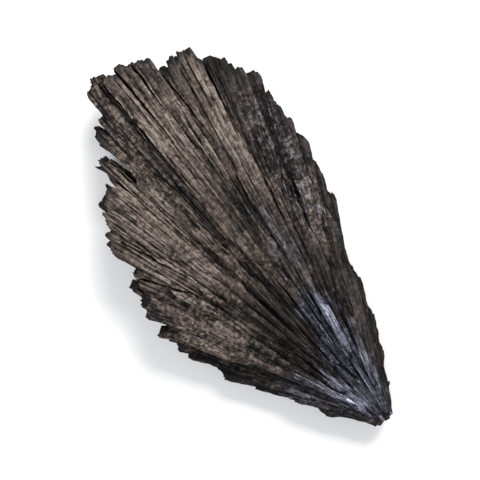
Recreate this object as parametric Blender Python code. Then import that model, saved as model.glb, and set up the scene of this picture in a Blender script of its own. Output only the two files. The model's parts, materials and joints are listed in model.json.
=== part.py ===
"""Black tourmaline fan: a spray of bladed crystals grown together, lying flat on its back.

The crystals leave a narrow foot at -Y and flare to a jagged rim at +Y, in three levels round a
heart of intergrown stone. They are one stone, so everything is fused into a single solid.
"""

import math
import random
from collections import namedtuple

import bmesh
import bpy
from mathutils import Vector

MM = 0.001

# Driving sizes of the whole stone. In plan, the foot's point is (0, 0) until the last step.
FAN_LENGTH = 80.0 * MM  # foot to the furthest crystal end
FAN_HALF_ANGLE = math.radians(30.0)
FOOT_SPREAD = 1.5 * MM  # the outermost crystals' near ends stand this far to each side
FOOT_SCATTER = 0.15  # and each wanders by this share of it
FOOT_REACH = (0.2 * MM, 2.6 * MM)  # and this far along the fan
FOOT_WIDTH = 1.5 * MM  # narrowest that a crystal becomes at the foot
FOOT_THICKNESS = 0.45  # share of its thickness that a crystal has there

# Height of the upper surface along the fan's middle: share of FAN_LENGTH, height.
CROWN = (
    (0.00, 4.6 * MM),
    (0.12, 6.2 * MM),
    (0.30, 8.4 * MM),
    (0.50, 10.8 * MM),
    (0.70, 12.0 * MM),
    (0.88, 11.4 * MM),
    (1.00, 10.0 * MM),
)
LEFT_DROP = 4.2 * MM  # how far the upper surface falls to the left edge
RIGHT_DROP = 5.8 * MM  # and to the right edge
DROP_CURVE = 1.8  # power of the swing that the fall follows: 1 is a plain roof
DROP_LIMIT = 1.2  # the fall stops growing at this share of the half angle
DROP_SHARES = (0.05, 0.45)  # the foot is level across, and the fall is full from here on
KEEL_HEIGHT = 0.15 * MM  # the lower surface along the middle
KEEL_RIM_RISE = 2.4 * MM
KEEL_RIM_SHARES = (0.68, 1.05)  # where the rise to the rim starts and ends
KEEL_SIDE_RISE = 1.0 * MM

# The heart: solid stone inside the sheaf of crystals.
HEART_SWING = (math.radians(-35.0), math.radians(32.0))
HEART_REACH = 0.88  # share of the outline that it fills
HEART_START = 0.8 * MM
HEART_BELOW = 1.9 * MM  # its top stands this far under the upper surface
HEART_ABOVE = 0.9 * MM  # its bottom stands this far over the lower surface
HEART_FOOT_SPREAD = 1.1 * MM  # how far its foot reaches to either side
HEART_FOOT_COVER = 0.5  # share of the gap under the upper surface that is left at the foot
HEART_FOOT_SHARE = 0.25  # share of its length over which the foot's shape fades
HEART_CUTS = (11, 5)  # across the fan, along it

# One crystal: its end in plan, its width and thickness there, how far it stands above its
# level, the share of its length where it starts, its bend in degrees, and its end's slant.
Crystal = namedtuple("Crystal", "x y width thick lift start bend slant")

# The upper level, from the left of the foot round the rim to its right, in millimetres.
UPPER = (
    Crystal(-7.4, 10.9, 3.6, 3.4, -0.9, 0.00, 0, 1.6),
    Crystal(-9.9, 17.1, 3.9, 3.6, -0.7, 0.05, 0, 1.6),
    Crystal(-13.4, 22.6, 4.0, 3.8, -0.9, 0.00, -1, 1.5),
    Crystal(-16.3, 28.0, 4.8, 4.2, -0.7, 0.00, -2, 1.3),
    Crystal(-18.2, 34.8, 4.8, 3.6, -0.9, 0.16, -7, 0.7),
    Crystal(-17.4, 39.4, 5.2, 3.2, -0.2, 0.24, -8, -0.2),
    Crystal(-17.8, 44.6, 5.4, 3.6, -0.1, 0.00, -8, 0.3),
    Crystal(-15.4, 48.9, 4.2, 3.2, -0.5, 0.30, -5, 0.5),
    Crystal(-14.6, 56.6, 5.6, 4.0, 0.2, 0.10, -4, 0.5),
    Crystal(-12.0, 61.2, 5.2, 3.6, 0.3, 0.26, -3, 0.6),
    Crystal(-9.1, 63.4, 4.6, 3.8, 0.2, 0.00, -2, 0.1),
    Crystal(-6.4, 68.4, 2.3, 3.4, -0.3, 0.09, 0, -0.5),
    Crystal(-3.8, 72.4, 2.8, 3.0, -1.3, 0.12, 0, 0.2),
    Crystal(-1.6, 73.8, 3.0, 3.0, -1.0, 0.30, 0, 0.0),
    Crystal(0.7, 79.5, 4.6, 4.6, -1.1, 0.00, 0, 0.3),
    Crystal(3.9, 78.5, 4.4, 3.8, 0.2, 0.20, 0, -0.2),
    Crystal(7.1, 77.8, 4.4, 4.0, 0.4, 0.00, 0, -0.4),
    Crystal(10.1, 76.4, 4.2, 4.0, 0.3, 0.25, 1, -0.3),
    Crystal(12.9, 73.1, 4.8, 3.4, -0.2, 0.07, 2, 0.2),
    Crystal(15.2, 72.5, 4.0, 3.4, 0.0, 0.33, 2, -0.4),
    Crystal(16.9, 71.3, 4.6, 3.8, 0.6, 0.00, 3, -0.6),
    Crystal(19.9, 68.7, 4.8, 3.4, -0.4, 0.24, 3, -0.3),
    Crystal(21.2, 64.8, 4.6, 3.0, -0.3, 0.08, 3, -0.5),
    Crystal(22.4, 60.0, 4.8, 3.0, -0.5, 0.28, 3, -0.9),
    Crystal(22.4, 55.0, 4.8, 2.8, -0.2, 0.00, 3, -1.0),
    Crystal(21.8, 49.8, 4.6, 2.8, -0.4, 0.25, 3, -1.2),
    Crystal(21.0, 45.0, 4.4, 2.6, -0.1, 0.12, 2, -1.2),
    Crystal(19.2, 39.6, 4.2, 2.6, -0.3, 0.20, 2, -1.1),
    Crystal(16.0, 34.0, 4.2, 2.8, -0.2, 0.08, 1, -1.4),
    Crystal(13.4, 26.0, 4.2, 3.0, -0.3, 0.00, 0, -1.6),
    Crystal(10.9, 19.2, 3.9, 3.2, -0.5, 0.06, 0, -1.6),
    Crystal(8.2, 13.0, 3.6, 3.2, -0.6, 0.00, 0, -1.6),
    Crystal(4.9, 7.3, 3.2, 3.0, -0.6, 0.00, 0, -1.4),
)

# A crystal that starts past the foot rises from this far inside the stone, over this share.
SINK = 1.8 * MM
SINK_SHARE = 0.12

# The two lower levels: crystals side by side that fill the fan from edge to edge.
LOWER_SWING = (math.radians(-31.0), math.radians(29.0))
LOWER_REACH = (0.955, 0.99, 0.925, 1.0, 0.94, 0.975, 0.91)  # share of the upper outline
LOWER_LIFTS = (-0.6, 0.35, -0.1, 0.5, -0.55, 0.2)  # above their own level, in millimetres
MIDDLE_STARTS = (0.30,)  # shares of their length where they start, taken in turn
BOTTOM_STARTS = (0.01, 0.20, 0.10)
LOWER_WIDTH = (1.2, 1.7)  # share of the pitch from one to the next
LOWER_THICKNESS = (0.85, 1.15)  # share of the level's own thickness
LOWER_FLARE = 0.12  # they bend outwards by this share of their swing
MIDDLE_COUNT = 19
MIDDLE_DEPTH = 2.9 * MM  # below the upper surface
MIDDLE_THICK = 3.8 * MM
BOTTOM_COUNT = 15
BOTTOM_THICK = 4.4 * MM

# Ledges: broken crystals lying on the upper surface, with both ends free.
LEDGE_COUNT = 16
LEDGE_SWING = (math.radians(-27.0), math.radians(26.0))
LEDGE_START = (0.35, 0.60)
LEDGE_REACH = (0.55, 0.95)
LEDGE_WIDTH = (1.6 * MM, 3.0 * MM)
LEDGE_THICK = (1.6 * MM, 2.6 * MM)
LEDGE_LIFT = (0.35 * MM, 0.90 * MM)

# Needles: fine crystals in the joints between the ends of the large ones.
NEEDLE_COUNT = 16
NEEDLE_SWING = (math.radians(-28.0), math.radians(26.0))
NEEDLE_START = 0.74
NEEDLE_REACH = (0.965, 1.005)
NEEDLE_WIDTH = (1.2 * MM, 2.0 * MM)
NEEDLE_THICK = (1.3 * MM, 2.2 * MM)
NEEDLE_DEPTH = (1.0 * MM, 6.5 * MM)
FINE_FLARE = 0.1

# Rings along a crystal: share of its length, and its size there against the full section.
UPPER_RINGS = ((0.00, 0.45), (0.30, 1.00), (0.66, 1.00), (0.985, 1.00), (1.00, 0.86))
MIDDLE_RINGS = ((0.00, 0.60), (0.97, 1.00), (1.00, 0.84))
BOTTOM_RINGS = ((0.00, 0.60), (0.22, 1.00), (0.60, 1.00), (0.97, 1.00), (1.00, 0.84))
FINE_RINGS = ((0.00, 0.30), (0.25, 0.90), (0.94, 1.00), (1.00, 0.60))
UPPER_SIDES = 7
LOWER_SIDES = 6
FINE_SIDES = 5

# Sections are uneven: no two crystals have the same faces.
SQUARENESS = 0.40  # 1 is an ellipse; less squares the section up
CORNER_WANDER = 0.22  # share of a side
CORNER_REACH = (0.88, 1.06)  # share of the half width
RAGGED = 0.7 * MM  # how unevenly a crystal's end is broken
LEAN = 8.0  # most that a crystal is rolled about its length, in degrees
SLANT = 0.8  # steepest end of a crystal outside the table

# One crack: its inner and outer ends in plan, and its width and depth, in millimetres.
Crack = namedtuple("Crack", "x0 y0 x1 y1 width depth")

CRACKS = (
    Crack(-0.8, 19.0, 1.2, 9.5, 0.9, 1.4),
    Crack(-10.0, 40.0, -17.3, 51.5, 0.8, 2.2),
    Crack(-8.7, 42.0, -13.4, 55.5, 0.7, 1.6),
    Crack(-4.0, 46.0, -5.6, 67.0, 0.8, 2.4),
    Crack(-7.8, 62.6, -9.3, 72.0, 2.9, 30.0),
    Crack(-4.0, 63.4, -6.1, 72.9, 2.3, 30.0),
    Crack(1.5, 54.0, 2.5, 82.0, 0.7, 1.8),
    Crack(4.9, 62.0, 5.7, 82.0, 0.7, 2.6),
    Crack(7.6, 68.0, 8.6, 81.0, 0.7, 2.0),
    Crack(10.2, 56.0, 11.6, 77.0, 0.8, 2.2),
    Crack(13.9, 55.0, 18.6, 71.0, 0.7, 1.6),
    Crack(14.0, 41.0, 20.5, 56.0, 0.6, 1.4),
)
CRACK_RINGS = (0.12, 0.75, 1.0, 0.9)  # share of a crack's width and depth along it

FLOOR_CUTTER = 200.0 * MM

# Seeds of the uneven levels.
MIDDLE_SEED = 5
BOTTOM_SEED = 7
LEDGE_SEED = 23
NEEDLE_SEED = 37

STONE_COLOUR = (0.055, 0.048, 0.044, 1.0)
STONE_ROUGHNESS = 0.55


def clear_scene():
    for obj in list(bpy.data.objects):
        bpy.data.objects.remove(obj)


def collection(name):
    made = bpy.data.collections.new(name)
    bpy.context.scene.collection.children.link(made)
    return made


def smoothstep(low, high, value):
    t = min(1.0, max(0.0, (value - low) / (high - low)))
    return t * t * (3.0 - 2.0 * t)


def crown(point):
    """Height of the upper surface over a point of the plan."""
    share = point.length / FAN_LENGTH
    swing = math.atan2(point.x, point.y) / FAN_HALF_ANGLE
    height = CROWN[-1][1]
    for (near, low), (far, high) in zip(CROWN, CROWN[1:]):
        if near <= share <= far:
            height = low + (high - low) * (share - near) / (far - near)
    drop = LEFT_DROP if swing < 0 else RIGHT_DROP
    fall = min(DROP_LIMIT, abs(swing)) ** DROP_CURVE
    return height - drop * fall * smoothstep(*DROP_SHARES, share)


def keel(point):
    """Height of the lower surface over a point of the plan."""
    share = point.length / FAN_LENGTH
    swing = min(1.0, abs(math.atan2(point.x, point.y) / FAN_HALF_ANGLE))
    rise = KEEL_RIM_RISE * smoothstep(*KEEL_RIM_SHARES, share)
    return KEEL_HEIGHT + rise + KEEL_SIDE_RISE * swing * swing


def heading(angle):
    return Vector((math.sin(angle), math.cos(angle)))


def outline_tip(angle):
    """The rim in a direction from the foot: a point between the upper crystals' ends."""
    ends = sorted((math.atan2(c.x, c.y), math.hypot(c.x, c.y) * MM) for c in UPPER)
    if angle <= ends[0][0]:
        return heading(angle) * ends[0][1]
    for (low, near), (high, far) in zip(ends, ends[1:]):
        if low <= angle <= high:
            return heading(angle) * (near + (far - near) * (angle - low) / (high - low))
    return heading(angle) * ends[-1][1]


def plan_curve(tip, bend, foot):
    """The crystal's line in plan: a curve from the foot to its tip, bent by that angle."""
    angle = math.atan2(tip.x - foot.x, tip.y - foot.y) - bend
    middle = foot + heading(angle) * (tip - foot).length * 0.5

    def point(t):
        return foot * (1 - t) ** 2 + middle * 2 * t * (1 - t) + tip * t * t

    def direction(t):
        return ((middle - foot) * (1 - t) + (tip - middle) * t).normalized()

    return point, direction


def wire_object(name, mesh, home):
    """An object that only shapes the stone: it is shown as wires and not rendered."""
    if mesh.calc_volume(signed=True) < 0:
        bmesh.ops.reverse_faces(mesh, faces=mesh.faces)
    bmesh.ops.triangulate(mesh, faces=mesh.faces)
    data = bpy.data.meshes.new(name)
    mesh.to_mesh(data)
    mesh.free()
    made = bpy.data.objects.new(name, data)
    made.hide_render = True
    made.display_type = "WIRE"
    home.objects.link(made)
    return made


def prism(sides, rings):
    """A closed prism of unit radius, with its rings numbered along Z from 0."""
    mesh = bmesh.new()
    bmesh.ops.create_cone(
        mesh, cap_ends=True, segments=sides, radius1=1.0, radius2=1.0, depth=1.0
    )
    long_edges = [e for e in mesh.edges if abs(e.verts[0].co.z - e.verts[1].co.z) > 0.5]
    bmesh.ops.subdivide_edges(mesh, edges=long_edges, cuts=rings - 2)
    for vert in mesh.verts:
        vert.co.z = round((vert.co.z + 0.5) * (rings - 1))
    return mesh


def section_corners(sides, dice):
    """An uneven section: for each corner its angle, reach and how far its end is broken."""
    return [
        (
            2 * math.pi * (k + 0.5 + dice.uniform(-CORNER_WANDER, CORNER_WANDER)) / sides,
            dice.uniform(*CORNER_REACH),
            dice.uniform(-RAGGED, RAGGED),
        )
        for k in range(sides)
    ]


def crystal(name, tip, size, base, start, bend, slant, home, rings, sides):
    """One crystal along its curve. base(point, thickness, t) gives its middle's height."""
    width, thick = size
    dice = random.Random(name)
    swing = math.atan2(tip.x, tip.y) / FAN_HALF_ANGLE
    scatter = dice.uniform(-FOOT_SCATTER, FOOT_SCATTER)
    foot = Vector((FOOT_SPREAD * (swing + scatter), dice.uniform(*FOOT_REACH)))
    lean = math.tan(math.radians(dice.uniform(-LEAN, LEAN)))
    corners = section_corners(sides, dice)
    point, direction = plan_curve(tip, bend, foot)
    mesh = prism(sides, len(rings))
    for vert in mesh.verts:
        share, swell = rings[int(vert.co.z)]
        corner = round(math.atan2(vert.co.y, vert.co.x) * sides / (2 * math.pi)) % sides
        angle, reach, ragged = corners[corner]
        across, up = (
            math.copysign(abs(axis) ** SQUARENESS, axis) * reach
            for axis in (math.cos(angle), math.sin(angle))
        )
        t = start + (1.0 - start) * share
        uneven = slant * across * width * 0.5 + ragged
        t += uneven / tip.length * smoothstep(0.5, 1.0, share)
        half_width = 0.5 * swell * max(FOOT_WIDTH, width * t)
        half_thick = 0.5 * swell * thick * (FOOT_THICKNESS + (1.0 - FOOT_THICKNESS) * t)
        centre, along = point(t), direction(t)
        beside = Vector((along.y, -along.x)) * across * half_width
        height = base(centre, 2 * half_thick / swell, t)
        rise = up * half_thick + lean * across * half_width
        vert.co = (centre.x + beside.x, centre.y + beside.y, height + rise)
    return wire_object(name, mesh, home)


def sunk(start, t):
    """How far inside the stone a crystal still is, past its start."""
    return SINK * (1.0 - smoothstep(start, start + SINK_SHARE, t))


def under_crown(lift, start):
    """Middle height for a crystal whose top follows the upper surface, raised by lift."""

    def base(point, thickness, t):
        depth = sunk(start, t) if start else 0.0
        return crown(point) + lift * smoothstep(0.0, 0.5, t) - depth - 0.5 * thickness

    return base


def over_keel(lift, start):
    """Middle height for a crystal whose underside follows the lower surface."""

    def base(point, thickness, t):
        return keel(point) + lift + sunk(start, t) + 0.5 * thickness

    return base


def heart(home):
    """The solid stone inside the sheaf: a wedge that follows both surfaces."""
    mesh = bmesh.new()
    bmesh.ops.create_cube(mesh, size=1.0)
    for axis, cuts in enumerate(HEART_CUTS):
        edges = [e for e in mesh.edges if abs((e.verts[0].co - e.verts[1].co)[axis]) > 0.9]
        bmesh.ops.subdivide_edges(mesh, edges=edges, cuts=cuts, use_grid_fill=True)
    low, high = HEART_SWING
    for vert in mesh.verts:
        angle = low + (high - low) * (vert.co.x + 0.5)
        reach = outline_tip(angle).length * HEART_REACH
        share = vert.co.y + 0.5
        point = heading(angle) * (HEART_START + (reach - HEART_START) * share)
        point.x += HEART_FOOT_SPREAD * 2.0 * vert.co.x * (1.0 - share)
        cover = HEART_FOOT_COVER + (1.0 - HEART_FOOT_COVER) * smoothstep(
            0.0, HEART_FOOT_SHARE, share
        )
        if vert.co.z > 0:
            height = crown(point) - HEART_BELOW * cover
        else:
            height = keel(point) + HEART_ABOVE
        vert.co = (point.x, point.y, height)
    return wire_object("heart", mesh, home)


def upper_level(home):
    for n, c in enumerate(UPPER):
        crystal(
            f"upper_{n:02d}",
            Vector((c.x, c.y)) * MM,
            (c.width * MM, c.thick * MM),
            under_crown(c.lift * MM, c.start),
            c.start,
            math.radians(c.bend),
            c.slant,
            home,
            UPPER_RINGS,
            UPPER_SIDES,
        )


def lower_level(home, name, count, thick, base_of, starts, rings, seed):
    """A level of crystals side by side under the upper one, each as wide as its share."""
    dice = random.Random(seed)
    low, high = LOWER_SWING
    pitch = (high - low) / (count - 1)
    for n in range(count):
        angle = low + pitch * (n + dice.uniform(-0.2, 0.2))
        tip = outline_tip(angle) * LOWER_REACH[n % len(LOWER_REACH)]
        width = tip.length * pitch * dice.uniform(*LOWER_WIDTH)
        start = starts[n % len(starts)]
        crystal(
            f"{name}_{n:02d}",
            tip,
            (width, thick * dice.uniform(*LOWER_THICKNESS)),
            base_of(LOWER_LIFTS[n % len(LOWER_LIFTS)] * MM, start),
            start,
            angle * LOWER_FLARE,
            dice.uniform(-SLANT, SLANT),
            home,
            rings,
            LOWER_SIDES,
        )


def middle_level(home):
    def base_of(lift, start):
        return under_crown(lift - MIDDLE_DEPTH, start)

    lower_level(
        home,
        "middle",
        MIDDLE_COUNT,
        MIDDLE_THICK,
        base_of,
        MIDDLE_STARTS,
        MIDDLE_RINGS,
        MIDDLE_SEED,
    )


def bottom_level(home):
    lower_level(
        home,
        "bottom",
        BOTTOM_COUNT,
        BOTTOM_THICK,
        over_keel,
        BOTTOM_STARTS,
        BOTTOM_RINGS,
        BOTTOM_SEED,
    )


def ledges(home):
    """Broken crystals that lie on the upper surface, with both ends free."""
    dice = random.Random(LEDGE_SEED)
    low, high = LEDGE_SWING
    for n in range(LEDGE_COUNT):
        angle = low + (high - low) * (n + dice.uniform(0.2, 0.8)) / LEDGE_COUNT
        start = dice.uniform(*LEDGE_START)
        crystal(
            f"ledge_{n:02d}",
            outline_tip(angle) * dice.uniform(*LEDGE_REACH),
            (dice.uniform(*LEDGE_WIDTH), dice.uniform(*LEDGE_THICK)),
            under_crown(dice.uniform(*LEDGE_LIFT), start),
            start,
            angle * FINE_FLARE,
            dice.uniform(-SLANT, SLANT),
            home,
            FINE_RINGS,
            FINE_SIDES,
        )


def rim_needles(home):
    """Fine crystals that stand out between the ends of the large ones."""
    dice = random.Random(NEEDLE_SEED)
    low, high = NEEDLE_SWING
    for n in range(NEEDLE_COUNT):
        angle = low + (high - low) * (n + dice.uniform(0.1, 0.9)) / NEEDLE_COUNT
        crystal(
            f"needle_{n:02d}",
            outline_tip(angle) * dice.uniform(*NEEDLE_REACH),
            (dice.uniform(*NEEDLE_WIDTH), dice.uniform(*NEEDLE_THICK)),
            under_crown(-dice.uniform(*NEEDLE_DEPTH), 0.0),
            NEEDLE_START,
            angle * FINE_FLARE,
            dice.uniform(-SLANT, SLANT),
            home,
            FINE_RINGS,
            FINE_SIDES,
        )


def cracks(home):
    """Wedges that open the joints between crystals of the upper level."""
    for n, c in enumerate(CRACKS):
        inner, outer = Vector((c.x0, c.y0)) * MM, Vector((c.x1, c.y1)) * MM
        along = (outer - inner).normalized()
        beside = Vector((along.y, -along.x))
        mesh = prism(4, len(CRACK_RINGS))
        for vert in mesh.verts:
            ring = int(vert.co.z)
            spot = inner.lerp(outer, ring / (len(CRACK_RINGS) - 1))
            over = crown(spot)
            depth = c.depth * MM * CRACK_RINGS[ring]
            spot += beside * vert.co.x * 0.5 * c.width * MM * CRACK_RINGS[ring]
            height = over - depth if vert.co.y < -0.5 else over + depth * (vert.co.y + 1)
            vert.co = (spot.x, spot.y, height)
        wire_object(f"crack_{n:02d}", mesh, home)


def floor_cutter(home):
    """A block below the floor, which flattens the lowest crystals where the stone rests."""
    mesh = bmesh.new()
    bmesh.ops.create_cube(mesh, size=FLOOR_CUTTER)
    bmesh.ops.translate(mesh, verts=mesh.verts, vec=(0, 0, -0.5 * FLOOR_CUTTER))
    return wire_object("floor_cutter", mesh, home)


def stone_material():
    made = bpy.data.materials.new("black_tourmaline")
    made.use_nodes = True
    surface = made.node_tree.nodes["Principled BSDF"]
    surface.inputs["Base Color"].default_value = STONE_COLOUR
    surface.inputs["Roughness"].default_value = STONE_ROUGHNESS
    surface.inputs["Metallic"].default_value = 0.0
    return made


def add_boolean(stone, name, operation, operands):
    step = stone.modifiers.new(name, "BOOLEAN")
    step.operation = operation
    step.operand_type = "COLLECTION"
    step.collection = operands
    step.solver = "EXACT"


def fuse(core, crystals, cutters, home):
    """The heart joined with all the crystals, cracked, and cut flat at the floor."""
    crystals.objects.unlink(core)
    stone = bpy.data.objects.new("tourmaline_fan", core.data)
    bpy.data.objects.remove(core)
    home.objects.link(stone)
    add_boolean(stone, "join", "UNION", crystals)
    add_boolean(stone, "cut", "DIFFERENCE", cutters)
    graph = bpy.context.evaluated_depsgraph_get()
    fused = bpy.data.meshes.new_from_object(stone.evaluated_get(graph))
    stone.modifiers.clear()
    mesh = bmesh.new()
    mesh.from_mesh(fused)
    drop_pockets(mesh)
    straight = [v for v in mesh.verts if len(v.link_edges) == 2]
    bmesh.ops.dissolve_verts(mesh, verts=straight)
    centre_in_plan(mesh)
    mesh.to_mesh(fused)
    mesh.free()
    stone.data = fused
    return stone


def drop_pockets(mesh):
    """Fills the few pockets sealed between crystals: only the outer skin is kept."""
    skins = []
    left = set(mesh.verts)
    while left:
        skin, edge = set(), {left.pop()}
        while edge:
            skin |= edge
            edge = {e.other_vert(v) for v in edge for e in v.link_edges} - skin
        left -= skin
        skins.append(skin)
    outer = max(skins, key=len)
    bmesh.ops.delete(mesh, geom=[v for v in mesh.verts if v not in outer], context="VERTS")


def centre_in_plan(mesh):
    """Moves the stone until the middle of its plan is over the origin."""
    xs, ys = ([vert.co[axis] for vert in mesh.verts] for axis in (0, 1))
    middle = Vector((min(xs) + max(xs), min(ys) + max(ys), 0.0)) * 0.5
    bmesh.ops.translate(mesh, verts=mesh.verts, vec=-middle)


def main():
    clear_scene()
    stone_parts = collection("black_tourmaline")
    crystals = collection("crystals")
    cutters = collection("cutters")
    core = heart(crystals)
    upper_level(crystals)
    middle_level(crystals)
    bottom_level(crystals)
    ledges(crystals)
    rim_needles(crystals)
    cracks(cutters)
    floor_cutter(cutters)
    stone = fuse(core, crystals, cutters, stone_parts)
    stone.data.materials.append(stone_material())


main()
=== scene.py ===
"""Black tourmaline fan: the looks of a spray of fibrous crystals, grown over its fixed frame.

It is laid out as an add-on whose operators each make one group of pieces, and runs as a script.
Plan sizes are measured from the point of the foot, with +Y towards the rim.
"""

import json
import math
import random
from collections import namedtuple

import bmesh
import bpy
import numpy as np
from bpy.props import FloatProperty, FloatVectorProperty, IntProperty, PointerProperty
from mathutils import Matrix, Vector, noise
from mathutils.bvhtree import BVHTree

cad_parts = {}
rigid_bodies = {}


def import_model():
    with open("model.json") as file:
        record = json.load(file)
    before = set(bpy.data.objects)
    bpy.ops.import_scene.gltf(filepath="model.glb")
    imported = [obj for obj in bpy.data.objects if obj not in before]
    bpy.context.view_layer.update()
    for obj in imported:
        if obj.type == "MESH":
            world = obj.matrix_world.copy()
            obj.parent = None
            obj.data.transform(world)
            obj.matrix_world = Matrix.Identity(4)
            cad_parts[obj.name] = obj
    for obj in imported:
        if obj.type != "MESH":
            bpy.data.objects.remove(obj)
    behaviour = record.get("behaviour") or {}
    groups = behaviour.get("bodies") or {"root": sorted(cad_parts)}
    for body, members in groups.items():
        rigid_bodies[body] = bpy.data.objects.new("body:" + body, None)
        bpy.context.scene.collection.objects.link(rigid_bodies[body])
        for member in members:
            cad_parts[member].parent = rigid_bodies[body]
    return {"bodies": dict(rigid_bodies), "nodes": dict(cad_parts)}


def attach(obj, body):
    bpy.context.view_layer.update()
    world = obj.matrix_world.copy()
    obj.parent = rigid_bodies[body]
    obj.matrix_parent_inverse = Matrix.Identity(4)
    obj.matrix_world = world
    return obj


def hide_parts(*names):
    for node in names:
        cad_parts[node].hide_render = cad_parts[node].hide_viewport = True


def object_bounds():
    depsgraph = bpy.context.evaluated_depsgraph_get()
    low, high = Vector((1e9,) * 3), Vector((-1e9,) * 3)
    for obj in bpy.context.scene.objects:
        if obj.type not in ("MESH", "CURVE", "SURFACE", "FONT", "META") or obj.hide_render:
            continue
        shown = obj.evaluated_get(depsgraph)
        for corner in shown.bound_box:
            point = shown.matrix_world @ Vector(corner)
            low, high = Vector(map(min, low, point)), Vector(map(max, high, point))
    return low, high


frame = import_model()
CAD_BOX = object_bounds()

bl_info = {
    "name": "Black tourmaline fan",
    "version": (1, 0, 0),
    "blender": (4, 5, 0),
    "location": "View3D > Sidebar > Tourmaline",
    "description": "Grows the fibrous crystals of a black tourmaline fan and sets its stage",
    "category": "Object",
}

MM = 0.001


def degrees(*values):
    return tuple(math.radians(value) for value in values)


def rows_of(kind, *rows):
    """A table whose rows are of one kind."""
    return tuple(kind(*row) for row in rows)


# The stone as its solid has it. In plan, the foot's point is (0, 0) until the last step.
PLAN_MIDDLE = Vector((2.077, 40.505, 0.0)) * MM
FAN_LENGTH = 80.0 * MM
FAN_HALF_ANGLE = math.radians(30.0)
FOOT_SPREAD = 1.5 * MM
FOOT_SCATTER = 0.15
FOOT_REACH = (0.2 * MM, 2.6 * MM)
FOOT_WIDTH = 1.5 * MM
FOOT_THICKNESS = 0.45
CROWN = (
    (0.00, 4.6 * MM),
    (0.12, 6.2 * MM),
    (0.30, 8.4 * MM),
    (0.50, 10.8 * MM),
    (0.70, 12.0 * MM),
    (0.88, 11.4 * MM),
    (1.00, 10.0 * MM),
)
LEFT_DROP = 4.2 * MM
RIGHT_DROP = 5.8 * MM
DROP_CURVE = 1.8
DROP_LIMIT = 1.2
DROP_SHARES = (0.05, 0.45)
KEEL_HEIGHT = 0.15 * MM
KEEL_RIM_RISE = 2.4 * MM
KEEL_RIM_SHARES = (0.68, 1.05)
KEEL_SIDE_RISE = 1.0 * MM
HEART_SWING = degrees(-35.0, 32.0)
HEART_REACH = 0.88
HEART_START = 0.8 * MM
HEART_BELOW = 1.9 * MM
HEART_ABOVE = 0.9 * MM
HEART_FOOT_SPREAD = 1.1 * MM
HEART_FOOT_COVER = 0.5
HEART_FOOT_SHARE = 0.25
HEART_CUTS = (24, 12)

# One crystal: its end in plan, width and thickness, how far it stands above its level, the
# share of its length where it starts, its bend in degrees, its end's slant and its tone.
Crystal = namedtuple("Crystal", "x y width thick lift start bend slant tone", defaults=(0.0,))

# The upper level, from the left of the foot round the rim to its right, in millimetres.
UPPER = rows_of(
    Crystal,
    (-7.4, 10.9, 3.6, 3.4, -0.9, 0.00, 0, 1.6),
    (-9.9, 17.1, 3.9, 3.6, -0.7, 0.05, 0, 1.6),
    (-13.4, 22.6, 4.0, 3.8, -0.9, 0.00, -1, 1.5, -0.05),
    (-16.3, 28.0, 4.8, 4.2, -0.7, 0.00, -2, 1.3, 0.05),
    (-18.2, 34.8, 4.8, 3.6, -0.9, 0.16, -7, 0.7, -0.05),
    (-17.4, 39.4, 5.2, 3.2, -0.2, 0.24, -8, -0.2, 0.05),
    (-17.8, 44.6, 5.4, 3.6, -0.1, 0.00, -8, 0.3, 0.05),
    (-15.4, 48.9, 4.2, 3.2, -0.5, 0.30, -5, 0.5, -0.05),
    (-14.6, 56.6, 5.6, 4.0, 0.2, 0.10, -4, 0.5, 0.05),
    (-12.0, 61.2, 5.2, 3.6, 0.3, 0.26, -3, 0.6),
    (-9.1, 63.4, 4.6, 3.8, 0.2, 0.00, -2, 0.1),
    (-6.4, 68.4, 2.3, 3.4, -0.3, 0.09, 0, -0.5, -0.05),
    (-3.8, 72.4, 2.8, 3.0, -1.3, 0.12, 0, 0.2, -0.1),
    (-1.6, 73.8, 3.0, 3.0, -1.0, 0.30, 0, 0.0, -0.05),
    (0.7, 79.5, 4.6, 4.6, -1.1, 0.00, 0, 0.3, 0.03),
    (3.9, 78.5, 4.4, 3.8, 0.2, 0.20, 0, -0.2, -0.04),
    (7.1, 77.8, 4.4, 4.0, 0.4, 0.00, 0, -0.4, 0.08),
    (10.1, 76.4, 4.2, 4.0, 0.3, 0.25, 1, -0.3, 0.05),
    (12.9, 73.1, 4.8, 3.4, -0.2, 0.07, 2, 0.2, -0.1),
    (15.2, 72.5, 4.0, 3.4, 0.0, 0.33, 2, -0.4),
    (16.9, 71.3, 4.6, 3.8, 0.6, 0.00, 3, -0.6, 0.05),
    (19.9, 68.7, 4.8, 3.4, -0.4, 0.24, 3, -0.3, -0.05),
    (21.2, 64.8, 4.6, 3.0, -0.3, 0.08, 3, -0.5),
    (22.4, 60.0, 4.8, 3.0, -0.5, 0.28, 3, -0.9, -0.05),
    (22.4, 55.0, 4.8, 2.8, -0.2, 0.00, 3, -1.0),
    (21.8, 49.8, 4.6, 2.8, -0.4, 0.25, 3, -1.2, 0.05),
    (21.0, 45.0, 4.4, 2.6, -0.1, 0.12, 2, -1.2),
    (19.2, 39.6, 4.2, 2.6, -0.3, 0.20, 2, -1.1, -0.05),
    (16.0, 34.0, 4.2, 2.8, -0.2, 0.08, 1, -1.4),
    (13.4, 26.0, 4.2, 3.0, -0.3, 0.00, 0, -1.6),
    (10.9, 19.2, 3.9, 3.2, -0.5, 0.06, 0, -1.6),
    (8.2, 13.0, 3.6, 3.2, -0.6, 0.00, 0, -1.6),
    (4.9, 7.3, 3.2, 3.0, -0.6, 0.00, 0, -1.4),
)
SINK = 1.8 * MM
SINK_SHARE = 0.12

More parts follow.
